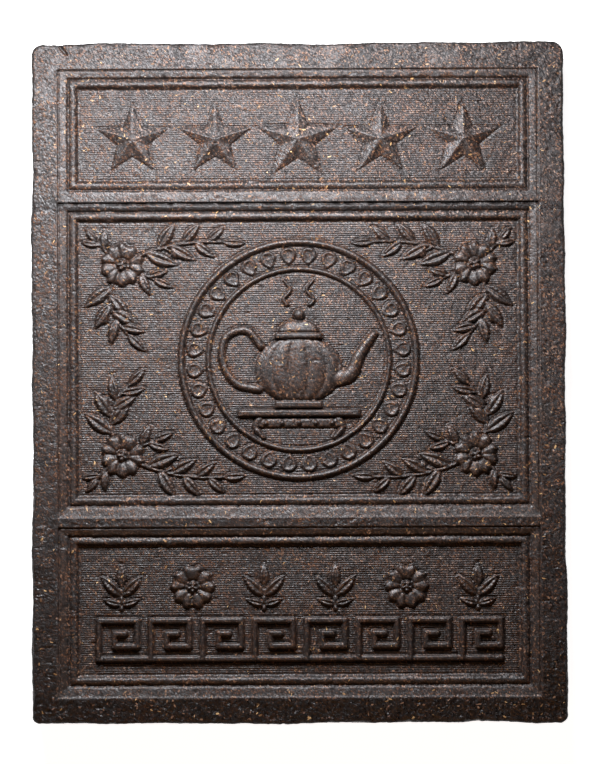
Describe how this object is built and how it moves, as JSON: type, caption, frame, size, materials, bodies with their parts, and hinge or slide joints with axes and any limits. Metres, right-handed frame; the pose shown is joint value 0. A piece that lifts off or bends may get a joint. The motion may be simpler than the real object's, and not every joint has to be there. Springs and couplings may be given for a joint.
{
  "type": "tea brick",
  "caption": "Flat block of pressed black tea with a moulded face: a plain rim round three sunk, framed panels of raised ornament.",
  "frame": {"origin": "middle of the plain back, the face that the brick rests on", "axes": "+X to the right of the moulded face, +Y towards its edge with the row of stars, +Z out of the moulded face"},
  "size_m": [0.1875, 0.2391, 0.022],
  "materials": {
    "tea": "dark pressed tea dust, matt with a faint grey sheen"
  },
  "bodies": {
    "root": {"tea_brick": "tea"}
  },
  "joints": []
}
